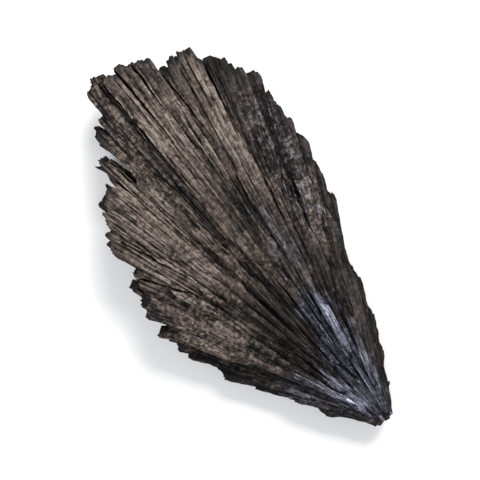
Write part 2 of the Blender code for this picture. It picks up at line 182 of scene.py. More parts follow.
# The two lower levels: crystals side by side that fill the fan from edge to edge.
LOWER_SWING = degrees(-31.0, 29.0)
LOWER_STRAY = (-0.2, 0.2)
LOWER_REACH = (0.955, 0.99, 0.925, 1.0, 0.94, 0.975, 0.91)
LOWER_LIFTS = (-0.6, 0.35, -0.1, 0.5, -0.55, 0.2)
MIDDLE_STARTS = (0.30,)
BOTTOM_STARTS = (0.01, 0.20, 0.10)
LOWER_WIDTH = (1.2, 1.7)
LOWER_THICKNESS = (0.85, 1.15)
LOWER_FLARE = 0.12
MIDDLE_COUNT = 19
MIDDLE_DEPTH = 2.9 * MM
MIDDLE_THICK = 3.8 * MM
BOTTOM_COUNT = 15
BOTTOM_THICK = 4.4 * MM

# Ledges lie on the upper surface with both ends free. Needles stand out of the rim.
LEDGE_COUNT = 16
LEDGE_SWING = degrees(-27.0, 26.0)
LEDGE_PLACE = (0.2, 0.8)
LEDGE_START = (0.35, 0.60)
LEDGE_REACH = (0.55, 0.95)
LEDGE_WIDTH = (1.6 * MM, 3.0 * MM)
LEDGE_THICK = (1.6 * MM, 2.6 * MM)
LEDGE_LIFT = (0.35 * MM, 0.90 * MM)
NEEDLE_COUNT = 16
NEEDLE_SWING = degrees(-28.0, 26.0)
NEEDLE_PLACE = (0.1, 0.9)
NEEDLE_START = 0.74
NEEDLE_REACH = (0.965, 1.005)
NEEDLE_WIDTH = (1.2 * MM, 2.0 * MM)
NEEDLE_THICK = (1.3 * MM, 2.2 * MM)
NEEDLE_DEPTH = (1.0 * MM, 6.5 * MM)
FINE_FLARE = 0.1
SLANT = 0.8

# A kind of crystal: its swell along its length, its number of corners.
Habit = namedtuple("Habit", "rings corners")
UPPER_HABIT = Habit(((0.00, 0.45), (0.30, 1.00), (0.985, 1.00), (1.00, 0.92)), 7)
MIDDLE_HABIT = Habit(((0.00, 0.60), (0.97, 1.00), (1.00, 0.90)), 6)
BOTTOM_HABIT = Habit(((0.00, 0.60), (0.22, 1.00), (0.97, 1.00), (1.00, 0.90)), 6)
FINE_HABIT = Habit(((0.00, 0.30), (0.25, 0.90), (0.94, 1.00), (1.00, 0.60)), 5)
SQUARENESS = 0.40
CORNER_WANDER = 0.22
CORNER_REACH = (0.88, 1.06)
RAGGED = 0.7 * MM
LEAN = 8.0
MIDDLE_SEED = 5
BOTTOM_SEED = 7
LEDGE_SEED = 23
NEEDLE_SEED = 37
SPLINTER_SEED = 61
CRACK_SEED = 83

# One crack: its inner and outer ends in plan, and its width and depth, in millimetres.
Crack = namedtuple("Crack", "x0 y0 x1 y1 width depth")
CRACKS = rows_of(
    Crack,
    (-0.8, 19.0, 1.2, 9.5, 0.9, 1.4),
    (-10.0, 40.0, -17.3, 51.5, 0.8, 2.2),
    (-8.7, 42.0, -13.4, 55.5, 0.7, 1.6),
    (-4.0, 46.0, -5.6, 67.0, 0.8, 2.4),
    (-7.8, 62.6, -9.3, 72.0, 2.9, 30.0),
    (-4.0, 63.4, -6.1, 72.9, 2.3, 30.0),
    (1.5, 54.0, 2.5, 82.0, 0.7, 1.8),
    (4.9, 62.0, 5.7, 82.0, 0.9, 2.6),
    (7.0, 57.0, 7.7, 63.5, 0.5, 1.2),
    (7.6, 68.0, 8.6, 81.0, 0.7, 2.0),
    (10.2, 56.0, 11.6, 77.0, 0.8, 2.2),
    (13.9, 55.0, 18.6, 71.0, 0.7, 1.6),
    (14.0, 41.0, 20.5, 56.0, 0.6, 1.4),
)
OPEN_SWELL = ((0.00, 0.12), (0.33, 0.75), (0.66, 1.0), (1.00, 0.9))
FINE_SWELL = ((0.00, 0.10), (0.33, 0.80), (0.66, 1.0), (0.90, 0.7), (1.00, 0.25))
CRACK_RINGS = 24
CRACK_WANDER = 0.22 * MM
CRACK_PITCH = 2.6 * MM  # of its crooked course
CRACK_UNEVEN = 0.7  # share of its width that comes and goes
FLOOR_CUTTER = 200.0 * MM

# Weathered ground and some painted shade, painted in strokes over the plan: a line, its reach,
# its tone from 0, fresh and blue-black, to 1, pale and brown, and how fully it covers.
Stroke = namedtuple("Stroke", "x0 y0 x1 y1 reach tone cover", defaults=(1.0,))
FRESH_TONE = 0.05
WORN_TONE = 0.52
WORN_FROM = (22.0, 50.0)
RIM_SWING = degrees(-50.0, 50.0)
DULL_RIM = (0.91, 0.98)
RIM_DARKENING = 0.19
STROKES = rows_of(
    Stroke,
    (0.7, 77.0, -0.4, 42.0, 4.0, 0.50, 0.85),
    (7.4, 79.0, 6.8, 58.0, 4.9, 0.63, 0.90),
    (14.0, 74.0, 12.0, 58.0, 3.0, 0.52, 0.80),
    # Right edge: charcoal skin, darkened further by painted shade from a neighbouring stone.
    (20.0, 69.0, 15.5, 50.0, 4.0, 0.09, 0.85),
    (17.0, 71.5, 11.0, 47.0, 1.7, 0.76, 0.95),
    # Right side: charcoal skin, partly painted shade from a neighbouring stone.
    (21.5, 57.0, 17.0, 36.0, 5.6, 0.23, 0.85),
    (6.5, 47.0, 6.5, 30.0, 5.0, 0.20, 0.80),
    (-11.5, 60.0, -9.0, 42.0, 6.0, 0.76, 0.90),
    (-6.0, 67.0, -3.0, 45.0, 1.5, 0.82, 0.90),
    (-4.0, 46.0, -3.5, 34.0, 2.6, 0.52, 0.60),
    (-17.5, 45.0, -10.0, 37.0, 4.0, 0.62, 0.85),
    (-15.5, 34.0, -9.0, 29.0, 4.6, 0.60, 0.85),
    (-11.0, 25.0, -4.0, 16.0, 5.6, 0.11, 0.85),
)

# Where the skin is glossy and freshly grown, and where it is coarse and pitted.
GLOSSY = rows_of(
    Stroke,
    (8.0, 44.0, 5.5, 28.0, 3.6, 0.22),
    (19.5, 56.0, 14.0, 36.0, 5.0, 0.19),
    (6.5, 24.0, 3.0, 8.0, 3.4, 0.24),
    (3.6, 24.0, 0.2, 5.0, 4.0, 1.00),
    (-8.5, 17.0, -3.0, 7.0, 4.0, 0.30),
    # Gloss above 1 here paints a highlight patch at the foot's tip.
    (-2.5, 12.4, -1.4, 5.4, 2.0, 2.00),
)
COARSE = rows_of(
    Stroke,
    (-15.0, 32.0, -4.0, 12.0, 7.0, 1.00),
    (-18.0, 42.0, -8.0, 34.0, 6.0, 0.70),
    (0.0, 79.0, -2.2, 57.0, 4.4, 0.85),
    (-6.0, 46.0, 3.0, 34.0, 5.0, 0.50),
    (20.0, 58.0, 14.0, 36.0, 5.0, 0.80),
)

# Sampling of the skins: fine round a crystal, coarser along its fibres.
SAMPLE_PITCH = 0.28 * MM
SKIN_FACTOR = 3.4  # length round a section against the mean of its width and thickness
RING_PITCH = 0.85 * MM
SAMPLES = (24, 66)
RINGS_LEAST = 9
END_INSETS = 3
END_INSET = 0.85

# Relief of a crystal's skin: strips of fibres that step up and down, parted by grooves.
STRIP_RINGS = (5, 24)  # how long a strip keeps its level
STRIP_SAMPLES = (2, 6)  # and how wide it is
STRIP_BIAS = 1.7  # above 1, most strips lie high
GROOVE_SHARE = (0.4, 1.0)
FIBRE_FLOW = (0.17, 0.6, 0.8)  # the fibres' change along and across, and its strength
END_BIAS = 1.6
END_BLOCK = (3, 11)
END_JITTER = 0.16
END_CELLS = (0.8, 1.1)  # blocks of the break to a millimetre, across and up
END_MIX = (0.65, 0.35, 0.3)  # shares of its strips and blocks, and what is taken off them
RELIEF_LIMIT = 0.4  # most that relief takes off a half section
# Shares of a crystal's length over which each of these sets in.
SLANT_FADE = (0.5, 1.0)
END_FADE = (0.93, 1.0)
RELIEF_FADE = (0.02, 0.35)
WANDER_FADE = (0.1, 0.4)
WANDER = 0.25 * MM
WANDER_PITCH = 9.0 * MM
TONE_WANDER = 0.08
WORN_END = (2.2 * MM, 0.2 * MM)  # from the end: where its wear starts and where it is full
WORN_END_SHARE = 0.7
HEART_AROUND = 1000.0  # wider than the heart, so that its fibre map never wraps
HOLLOW_STEPS = 8  # how often the skin is smoothed to find its hollows
GRAIN = (0.55, 0.7, 0.6)  # the skin's grain: its ground, its broad part and its fine part
GRAIN_SCALES = (0.9, 2.1)
GRAIN_MOST = 2.0
COARSENING = 1.4
FRAY = (1.3, 3.0)  # how far the edges of strokes wander, in millimetres
FRAY_FLOW = ((0.9, 0.16), (1.0, 0.2))
STROKE_EDGE = 1.6  # how steeply a stroke's cover falls at its edge
SHARP_ANGLE = math.radians(42.0)

# Short cracks along the fibres.
FINE_LENGTH = (4.0 * MM, 20.0 * MM)
FINE_PLACE = (0.22, 1.0)
FINE_NEAREST = 10.0 * MM
FINE_FAN = 1.06
FINE_TURN = 0.03
FINE_WIDTH = (0.22, 0.50)
FINE_DEPTH = (0.6, 1.7)

# Splinters lie along the fibres, half sunk in the skin.
SPLINTER_SWING = degrees(-31.0, 28.0)
SPLINTER_CLEARANCE = 0.30 * MM  # from an open crack
SPLINTER_NEAREST = 1.0 * MM
SPLINTER_PLACE = (0.05, 1.0)
SPLINTER_CROWDING = 0.7  # below 1, more of them lie towards the rim
SPLINTER_FAN = (0.98, 1.14)
SPLINTER_TURN = 0.02
SPLINTER_RISE = (0.3, 1.4)
SPLINTER_FOOT = 0.4  # share of its width that one keeps at the foot
SPLINTER_TONE = (-0.22, 0.26)
SPLINTER_UNEVENNESS = (0.7, 1.15)
SPLINTER_FADING = 0.6  # share of them that run out thin
SPLINTER_ENDS = (0.30, 0.70)  # swell at the near end, and what a thin far end loses
SPLINTER_BREAK = 0.9  # in millimetres
SPLINTER_UNEVEN = (1.6 * MM, 0.15)  # most unevenness beneath one: at once, and by its length
SPLINTER_RINGS = 7
SPLINTER_SIDES = 5

# A kind of splinter: its share of them all, width, length, thickness and lift, in millimetres.
Splinter = namedtuple("Splinter", "share width length thick lift")
SPLINTERS = rows_of(
    Splinter,
    (0.66, (0.25, 0.60), (3.0, 15.0), (0.5, 0.8), 0.16),
    (0.26, (0.70, 1.50), (4.0, 18.0), (0.7, 1.1), 0.26),
    (0.08, (1.80, 3.20), (7.0, 20.0), (1.0, 1.4), 0.34),
)

# The skin's shine and bump.
WORN_SPECULAR = 0.16
FRESH_SPECULAR = 0.5
FRESH_IOR = 1.64
BUMP_DISTANCE = 0.34 * MM

# The stage. The stone is seen from straight above, with its foot down and to the right.
ROLL = math.radians(-42.0)
FLOOR_SIZE = 0.8
FLOOR_ROUGHNESS = 0.9
KEY = ((0.12, 0.36, 0.28), 0.28, (1.0, 0.985, 0.96))  # place, size, tint
FILL = ((-0.16, -0.10, 0.46), 0.22, (0.96, 0.97, 1.0))
SKY_STRENGTH = 0.42
LENS = 100.0
CAMERA_SHIFT = 1.5 * MM
STONE_TOP = 8.0 * MM  # the height at which the view has its width


def length_property(name, description, default):
    return FloatProperty(
        name=name, description=description, default=default, unit="LENGTH", precision=5
    )


def colour_property(name, description, *default):
    return FloatVectorProperty(
        name=name, description=description, default=default, subtype="COLOR", min=0, max=1
    )


def share_property(name, description, default):
    return FloatProperty(
        name=name, description=description, default=default, subtype="FACTOR", min=0, max=1
    )


def power_property(name, description, default):
    return FloatProperty(name=name, description=description, default=default, subtype="POWER")


def count_property(name, description, default):
    return IntProperty(name=name, description=description, default=default, min=0)


class FanSizes(bpy.types.PropertyGroup):
    """Sizes of the fan's fine relief."""

    strip_step: length_property(
        "Strip step", "How far a strip of fibres may lie below its neighbours", 0.00042
    )
    groove_depth: length_property(
        "Groove depth", "Depth of the grooves between strips of fibres", 0.00030
    )
    fibre_depth: length_property(
        "Fibre depth", "Depth of the finest ridges along a crystal", 0.00012
    )
    grain_depth: length_property("Grain depth", "Depth of the uneven grain of the skin", 0.00014)
    end_step: length_property(
        "End step", "How unevenly the strips of a crystal break off at its end", 0.00130
    )
    crack_count: count_property("Fine cracks", "Number of short cracks along the fibres", 70)
    splinter_count: count_property(
        "Splinters", "Number of fine splinters that are tried; some find no room", 900
    )
    splinter_lift: FloatProperty(
        name="Splinter lift",
        description="How far the splinters stand out of the skin, against their usual lift",
        default=1.0,
        subtype="FACTOR",
    )


class FanColours(bpy.types.PropertyGroup):
    """Colours and gloss of the stone, from fresh faces to weathered ones, with painted light among
    them.
    """

    fresh: colour_property(
        "Fresh face", "Blue-black of fresh crystal near the foot", 0.006, 0.0062, 0.0085
    )
    # Painted reflection: this blue-grey stands for sky light reflected by fresh faces.
    blue: colour_property(
        "Blue face", "Blue-grey of fresh crystal where it catches the light", 0.021, 0.0220, 0.0315
    )
    # This black is also the painted shade that the material lays into the hollows.
    black: colour_property(
        "Black hollows", "Warm black of grooves and pits", 0.0075, 0.0068, 0.0068
    )
    dark: colour_property(
        "Dark skin", "Dark grey of lightly weathered skin", 0.0228, 0.0196, 0.0188
    )
    grey: colour_property(
        "Charcoal skin", "Charcoal of half weathered skin", 0.0395, 0.0325, 0.0305
    )
    brown: colour_property("Brown skin", "Brown of weathered skin", 0.072, 0.0545, 0.0450)
    pale: colour_property(
        "Pale skin", "Grey-brown of the most weathered ridges", 0.126, 0.0985, 0.0830
    )
    chalk: colour_property(
        "Chalky skin", "Light grey-brown where the skin has turned to powder", 0.190, 0.160, 0.140
    )
    # Painted highlight: the glint on the ridges of fresh faces.
    painted_glint: colour_property(
        "Glint", "Blue-grey of the bright ridges on fresh faces", 0.115, 0.120, 0.182
    )
    # Painted highlight: the brightest patch at the foot is painted light, not paler stone.
    painted_sparkle: colour_property(
        "Sparkle", "Blue-white of the brightest broken faces at the foot", 0.420, 0.430, 0.540
    )
    fresh_roughness: share_property("Fresh roughness", "Roughness of fresh faces", 0.24)
    worn_roughness: share_property("Worn roughness", "Roughness of weathered skin", 0.80)


class StageLook(bpy.types.PropertyGroup):
    """The floor, the light and the camera."""

    floor_colour: colour_property("Floor", "Colour of the floor", 0.80, 0.80, 0.80)
    key_power: power_property(
        "Key light", "Power of the large soft light above the upper left", 4.1
    )
    fill_power: power_property("Fill light", "Power of the soft light on the other side", 1.5)
    view_width: length_property("View width", "Width of the view at the stone's height", 0.084)


def clear_stray_objects():
    """Empties the file apart from the frame's own objects."""
    kept = set(frame["nodes"].values()) | set(frame["bodies"].values())
    for obj in list(bpy.data.objects):
        if obj not in kept:
            bpy.data.objects.remove(obj)


def smoothstep(low, high, value):
    t = min(1.0, max(0.0, (value - low) / (high - low)))
    return t * t * (3.0 - 2.0 * t)


def between(table, share):
    """The value of a table of (share, value) rows at a share."""
    for (near, low), (far, high) in zip(table, table[1:]):
        if near <= share <= far:
            return low + (high - low) * (share - near) / (far - near)
    return table[-1][1]


def crown(point):
    """Height of the upper surface over a point of the plan."""
    share = point.length / FAN_LENGTH
    swing = math.atan2(point.x, point.y) / FAN_HALF_ANGLE
    drop = LEFT_DROP if swing < 0 else RIGHT_DROP
    fall = min(DROP_LIMIT, abs(swing)) ** DROP_CURVE
    return between(CROWN, share) - drop * fall * smoothstep(*DROP_SHARES, share)


def keel(point):
    """Height of the lower surface over a point of the plan."""
    share = point.length / FAN_LENGTH
    swing = min(1.0, abs(math.atan2(point.x, point.y) / FAN_HALF_ANGLE))
    rise = KEEL_RIM_RISE * smoothstep(*KEEL_RIM_SHARES, share)
    return KEEL_HEIGHT + rise + KEEL_SIDE_RISE * swing * swing


def heading(angle):
    return Vector((math.sin(angle), math.cos(angle)))


RIM = sorted((math.atan2(c.x, c.y), math.hypot(c.x, c.y) * MM) for c in UPPER)


def outline_tip(angle):
    """The rim in a direction from the foot: a point between the upper crystals' ends."""
    clipped = min(RIM[-1][0], max(RIM[0][0], angle))
    return heading(angle) * between(RIM, clipped)


def plan_curve(tip, bend, foot):
    """The crystal's line in plan: a curve from the foot to its tip, bent by that angle."""
    angle = math.atan2(tip.x - foot.x, tip.y - foot.y) - bend
    middle = foot + heading(angle) * (tip - foot).length * 0.5

    def point(t):
        return foot * (1 - t) ** 2 + middle * 2 * t * (1 - t) + tip * t * t

    def direction(t):
        return ((middle - foot) * (1 - t) + (tip - middle) * t).normalized()

    return point, direction


def sunk(start, t):
    """How far inside the stone a crystal still is, past its start."""
    return SINK * (1.0 - smoothstep(start, start + SINK_SHARE, t))


def under_crown(lift, start):
    """Middle height for a crystal whose top follows the upper surface, raised by lift."""

    def base(point, thickness, t):
        depth = sunk(start, t) if start else 0.0
        return crown(point) + lift * smoothstep(0.0, 0.5, t) - depth - 0.5 * thickness

    return base


def over_keel(lift, start):
    """Middle height for a crystal whose underside follows the lower surface."""

    def base(point, thickness, t):
        return keel(point) + lift + sunk(start, t) + 0.5 * thickness

    return base


def section_round(corners, samples, width, thick):
    """The section's skin, evenly sampled: across, up, raggedness and skin distance."""
    points = []
    for angle, reach, ragged in corners:
        across, up = (
            math.copysign(abs(axis) ** SQUARENESS, axis) * reach
            for axis in (math.cos(angle), math.sin(angle))
        )
        points.append(Vector((across, up, ragged)))
    points.append(points[0])
    sides = [
        math.hypot((b.x - a.x) * width, (b.y - a.y) * thick) * 0.5
        for a, b in zip(points, points[1:])
    ]
    total = sum(sides)
    rows = []
    side, passed = 0, 0.0
    for n in range(samples):
        wanted = total * n / samples
        while wanted > passed + sides[side] and side < len(sides) - 1:
            passed += sides[side]
            side += 1
        rows.append(points[side].lerp(points[side + 1], (wanted - passed) / sides[side]))
    return rows, total


def skin_relief(dice, samples, rings, sizes):
    """How deep the skin is cut in at each sample and ring: strips, grooves and fibres."""
    flow, spread, strength = FIBRE_FLOW
    rows = []
    while len(rows) < samples:
        levels = []
        level, until = 0.0, 0
        for ring in range(rings):
            if ring >= until:
                level = dice.random() ** STRIP_BIAS
                until = ring + dice.randint(*STRIP_RINGS)
            levels.append(level)
        strip = dice.randint(*STRIP_SAMPLES)
        phase = dice.uniform(0.0, 100.0)
        for n in range(strip):
            fine = dice.random() * sizes.fibre_depth
            if n == strip - 1:
                fine += sizes.groove_depth * dice.uniform(*GROOVE_SHARE)
            rows.append([
                sizes.strip_step * level
                + fine * (1.0 + strength * noise.noise(Vector((phase, ring * flow, n * spread))))
                for ring, level in enumerate(levels)
            ])
    return rows[:samples]


def end_blocks(dice, samples):
    """How far each sample of a broken end falls short: blocks of fibres with uneven edges."""
    rows = []
    while len(rows) < samples:
        block = dice.random() ** END_BIAS
        for _ in range(dice.randint(*END_BLOCK)):
            rows.append(min(1.0, block + dice.uniform(0.0, END_JITTER)))
    return rows[:samples]


def prism(sides, rings):
    """A closed unit prism along Z, from -0.5 to 0.5, with its long edges cut into rings."""
    mesh = bmesh.new()
    bmesh.ops.create_cone(
        mesh, cap_ends=True, segments=sides, radius1=1.0, radius2=1.0, depth=1.0
    )
    long_edges = [e for e in mesh.edges if abs(e.verts[0].co.z - e.verts[1].co.z) > 0.5]
    bmesh.ops.subdivide_edges(mesh, edges=long_edges, cuts=rings - 2)
    return mesh


def corner_of(vert, sides):
    """Which of a prism's sides a vertex stands at."""
    return round(math.atan2(vert.co.y, vert.co.x) * sides / (2 * math.pi)) % sides


def fluted_prism(samples, rings):
    """A prism with many sides and rings, and its far end inset for a break."""
    mesh = prism(samples, rings)
    ends = [f for f in mesh.faces if all(v.co.z > 0.4999 for v in f.verts)]
    for _ in range(END_INSETS):
        bmesh.ops.inset_individual(mesh, faces=ends, thickness=END_INSET / END_INSETS)
    bmesh.ops.poke(mesh, faces=ends)
    mesh.verts.index_update()
    return mesh


def write_skin_layers(data, skin, ends, around, tone):
    """Writes the fibre map, millimetres round and along, and the make: tone, broken end."""
    corner = np.empty(len(data.loops), int)
    data.loops.foreach_get("vertex_index", corner)
    starts = np.empty(len(data.polygons), int)
    data.polygons.foreach_get("loop_start", starts)
    counts = np.diff(np.append(starts, len(corner)))
    u, v, ring_end = (skin[:, n][corner] for n in range(3))
    wraps = np.maximum.reduceat(u, starts) - np.minimum.reduceat(u, starts) > 0.5 * around
    broken = np.minimum.reduceat(ring_end, starts) > 0.99
    u = np.where(np.repeat(wraps, counts) & (u < 0.5 * around), u + around, u)
    flat = np.repeat(broken, counts)
    fibre = np.stack([np.where(flat, ends[corner, 0], u), np.where(flat, ends[corner, 1], v)], 1)
    make = np.stack([np.full(len(corner), tone), np.where(flat, 1.0, WORN_END_SHARE * ring_end)], 1)
    for name, values in (("fibre", fibre), ("make", make)):
        layer = data.uv_layers.new(name=name)
        layer.data.foreach_set("uv", values.astype(np.float32).ravel())


def placed_object(name, mesh, home):
    """Turns a finished bmesh into an object of a collection."""
    data = bpy.data.meshes.new(name)
    mesh.to_mesh(data)
    mesh.free()
    made = bpy.data.objects.new(name, data)
    home.objects.link(made)
    return made


def hidden_object(name, mesh, home):
    """An object that only shapes a piece, with its faces outwards."""
    if mesh.calc_volume(signed=True) < 0:
        bmesh.ops.reverse_faces(mesh, faces=mesh.faces)
    return placed_object(name, mesh, home)


def crystal(name, tip, size, base, start, bend, slant, home, habit, sizes, tone=0.0):
    """One crystal along its curve, with its skin grooved and its end broken."""
    width, thick = size
    dice = random.Random(name)
    swing = math.atan2(tip.x, tip.y) / FAN_HALF_ANGLE
    scatter = dice.uniform(-FOOT_SCATTER, FOOT_SCATTER)
    foot = Vector((FOOT_SPREAD * (swing + scatter), dice.uniform(*FOOT_REACH)))
    lean = math.tan(math.radians(dice.uniform(-LEAN, LEAN)))
    corners = [
        (
            2 * math.pi * (k + 0.5 + dice.uniform(-CORNER_WANDER, CORNER_WANDER)) / habit.corners,
            dice.uniform(*CORNER_REACH),
            dice.uniform(-RAGGED, RAGGED),
        )
        for k in range(habit.corners)
    ]
    point, direction = plan_curve(tip, bend, foot)
    wanted = round(SKIN_FACTOR * (width + thick) * 0.5 / SAMPLE_PITCH)
    samples = min(SAMPLES[1], max(SAMPLES[0], wanted))
    rings = max(RINGS_LEAST, round(tip.length * (1.0 - start) / RING_PITCH))
    section, around = section_round(corners, samples, width, thick)
    relief = skin_relief(dice, samples, rings, sizes)
    strip_ends = end_blocks(dice, samples)
    drift = dice.uniform(0.0, 100.0)
    cells_x, cells_y = END_CELLS
    of_strips, of_cells, back = END_MIX
    mesh = fluted_prism(samples, rings)
    skin = np.zeros((len(mesh.verts), 3))
    ends = np.zeros((len(mesh.verts), 2))
    for vert in mesh.verts:
        radius = math.hypot(vert.co.x, vert.co.y)
        k = corner_of(vert, samples)
        ring = round((vert.co.z + 0.5) * (rings - 1))
        share = ring / (rings - 1)
        across, up, ragged = section[k]
        swell = between(habit.rings, share)
        t = start + (1.0 - start) * share
        half_width = 0.5 * swell * max(FOOT_WIDTH, width * t)
        half_thick = 0.5 * swell * thick * (FOOT_THICKNESS + (1.0 - FOOT_THICKNESS) * t)
        side, rise = across * radius * half_width, up * radius * half_thick
        cell = noise.cell(Vector((side / MM * cells_x + drift, rise / MM * cells_y, drift)))
        uneven = slant * across * width * 0.5 + ragged
        uneven *= smoothstep(*SLANT_FADE, share)
        cut = sizes.end_step * (of_strips * strip_ends[k] + of_cells * cell - back)
        uneven -= cut * smoothstep(*END_FADE, share)
        t += uneven / tip.length
        reach = math.hypot(across * half_width, up * half_thick)
        cut_in = relief[k][ring] * smoothstep(*RELIEF_FADE, t)
        shrink = 1.0 - min(RELIEF_LIMIT * reach, cut_in) / reach
        side, rise = side * shrink, rise * shrink
        centre, along = point(t), direction(t)
        wander = WANDER * noise.noise(Vector((drift, t * tip.length / WANDER_PITCH, 0.0)))
        beside = Vector((along.y, -along.x)) * (side + wander * smoothstep(*WANDER_FADE, t))
        height = base(centre, 2 * half_thick / swell, t)
        vert.co = (centre.x + beside.x, centre.y + beside.y, height + rise + lean * side)
        worn_end = WORN_END_SHARE * smoothstep(*WORN_END, (1.0 - share) * tip.length)
        skin[vert.index] = (
            around / MM * k / samples,
            t * tip.length / MM,
            1.0 if ring == rings - 1 else worn_end,
        )
        ends[vert.index] = (side / MM, rise / MM)
    made = hidden_object(name, mesh, home)
    own_tone = tone + dice.uniform(-TONE_WANDER, TONE_WANDER)
    write_skin_layers(made.data, skin, ends, around / MM, own_tone)


def heart(home):
    """The solid stone inside the sheaf: a wedge that follows both surfaces."""
    mesh = bmesh.new()
    bmesh.ops.create_cube(mesh, size=1.0)
    for axis, cuts in enumerate(HEART_CUTS):
        edges = [e for e in mesh.edges if abs((e.verts[0].co - e.verts[1].co)[axis]) > 0.9]
        bmesh.ops.subdivide_edges(mesh, edges=edges, cuts=cuts, use_grid_fill=True)
    low, high = HEART_SWING
    for vert in mesh.verts:
        angle = low + (high - low) * (vert.co.x + 0.5)
        reach = outline_tip(angle).length * HEART_REACH
        share = vert.co.y + 0.5
        point = heading(angle) * (HEART_START + (reach - HEART_START) * share)
        point.x += HEART_FOOT_SPREAD * 2.0 * vert.co.x * (1.0 - share)
        cover = HEART_FOOT_COVER + (1.0 - HEART_FOOT_COVER) * smoothstep(
            0.0, HEART_FOOT_SHARE, share
        )
        if vert.co.z > 0:
            height = crown(point) - HEART_BELOW * cover
        else:
            height = keel(point) + HEART_ABOVE
        vert.co = (point.x, point.y, height)
    made = hidden_object("heart", mesh, home)
    layer = np.array([v.co[:2] for v in made.data.vertices]) / MM
    skin = np.concatenate([layer, np.zeros((len(layer), 1))], 1)
    write_skin_layers(made.data, skin, layer, HEART_AROUND, 0.0)


def grow_upper(home, sizes):
    for n, c in enumerate(UPPER):
        tip, size = Vector((c.x, c.y)) * MM, (c.width * MM, c.thick * MM)
        base, bend = under_crown(c.lift * MM, c.start), math.radians(c.bend)
        crystal(
            f"upper_{n:02d}", tip, size, base, c.start, bend, c.slant, home, UPPER_HABIT, sizes,
            c.tone,
        )


def grow_lower(home, sizes, name, count, thick, base_of, starts, habit, seed):
    """A level of crystals side by side under the upper one, each as wide as its share."""
    dice = random.Random(seed)
    low, high = LOWER_SWING
    pitch = (high - low) / (count - 1)
    for n in range(count):
        angle = low + pitch * (n + dice.uniform(*LOWER_STRAY))
        tip = outline_tip(angle) * LOWER_REACH[n % len(LOWER_REACH)]
        width = tip.length * pitch * dice.uniform(*LOWER_WIDTH)
        size = width, thick * dice.uniform(*LOWER_THICKNESS)
        start = starts[n % len(starts)]
        base = base_of(LOWER_LIFTS[n % len(LOWER_LIFTS)] * MM, start)
        bend, slant = angle * LOWER_FLARE, dice.uniform(-SLANT, SLANT)
        crystal(f"{name}_{n:02d}", tip, size, base, start, bend, slant, home, habit, sizes)


def spread(dice, swing, count, place):
    """Evenly spread angles over a swing, each strayed within its own share of it."""
    low, high = swing
    for n in range(count):
        yield n, low + (high - low) * (n + dice.uniform(*place)) / count


def grow_fine(name, tip, size, base, start, angle, dice, home, sizes):
    slant = dice.uniform(-SLANT, SLANT)
    crystal(name, tip, size, base, start, angle * FINE_FLARE, slant, home, FINE_HABIT, sizes)


def grow_ledges(home, sizes):
    dice = random.Random(LEDGE_SEED)
    for n, angle in spread(dice, LEDGE_SWING, LEDGE_COUNT, LEDGE_PLACE):
        start = dice.uniform(*LEDGE_START)
        tip = outline_tip(angle) * dice.uniform(*LEDGE_REACH)
        size = dice.uniform(*LEDGE_WIDTH), dice.uniform(*LEDGE_THICK)
        base = under_crown(dice.uniform(*LEDGE_LIFT), start)
        grow_fine(f"ledge_{n:02d}", tip, size, base, start, angle, dice, home, sizes)


def grow_needles(home, sizes):
    dice = random.Random(NEEDLE_SEED)
    for n, angle in spread(dice, NEEDLE_SWING, NEEDLE_COUNT, NEEDLE_PLACE):
        tip = outline_tip(angle) * dice.uniform(*NEEDLE_REACH)
        size = dice.uniform(*NEEDLE_WIDTH), dice.uniform(*NEEDLE_THICK)
        base = under_crown(-dice.uniform(*NEEDLE_DEPTH), 0.0)
        grow_fine(f"needle_{n:02d}", tip, size, base, NEEDLE_START, angle, dice, home, sizes)


def fine_cracks(count):
    """Short cracks along the fibres, all over the upper side."""
    dice = random.Random(CRACK_SEED)
    rows = []
    for _ in range(count):
        angle = dice.uniform(*SPLINTER_SWING)
        rim = outline_tip(angle).length
        length = dice.uniform(*FINE_LENGTH)
        near = dice.uniform(*FINE_PLACE) * rim - length
        aim = heading(angle * FINE_FAN + dice.uniform(-FINE_TURN, FINE_TURN))
        inner = heading(angle) * max(near, FINE_NEAREST)
        outer = inner + aim * length
        width, depth = dice.uniform(*FINE_WIDTH), dice.uniform(*FINE_DEPTH)
        rows.append(Crack(*(inner / MM), *(outer / MM), width, depth))
    return rows


def crack_ends(crack):
    return Vector((crack.x0, crack.y0)) * MM, Vector((crack.x1, crack.y1)) * MM


def open_cracks(home, label, rows, swells):
    """Crooked wedges that open the joints between crystals of the upper level."""
    for n, c in enumerate(rows):
        inner, outer = crack_ends(c)
        along = (outer - inner).normalized()
        beside = Vector((along.y, -along.x))
        mesh = prism(4, CRACK_RINGS)
        for vert in mesh.verts:
            share = round((vert.co.z + 0.5) * (CRACK_RINGS - 1)) / (CRACK_RINGS - 1)
            swell = between(swells, share)
            spot = inner.lerp(outer, share)
            over = crown(spot)
            depth = c.depth * MM * swell
            flow = Vector((n * 7.3, share * (outer - inner).length / CRACK_PITCH, 0.0))
            crooked = CRACK_WANDER * noise.noise(flow)
            wide = 0.5 * c.width * MM * swell * (1.0 + CRACK_UNEVEN * noise.noise(flow * 1.7))
            spot += beside * (vert.co.x * wide + crooked)
            height = over - depth if vert.co.y < -0.5 else over + depth * (vert.co.y + 1)
            vert.co = (spot.x, spot.y, height)
        hidden_object(f"{label}_{n:02d}", mesh, home)


def floor_cutter(home):
    """A block below the floor, which flattens the lowest crystals where the stone rests."""
    mesh = bmesh.new()
    bmesh.ops.create_cube(mesh, size=FLOOR_CUTTER)
    bmesh.ops.translate(mesh, verts=mesh.verts, vec=(0, 0, -0.5 * FLOOR_CUTTER))
    hidden_object("floor_cutter", mesh, home)


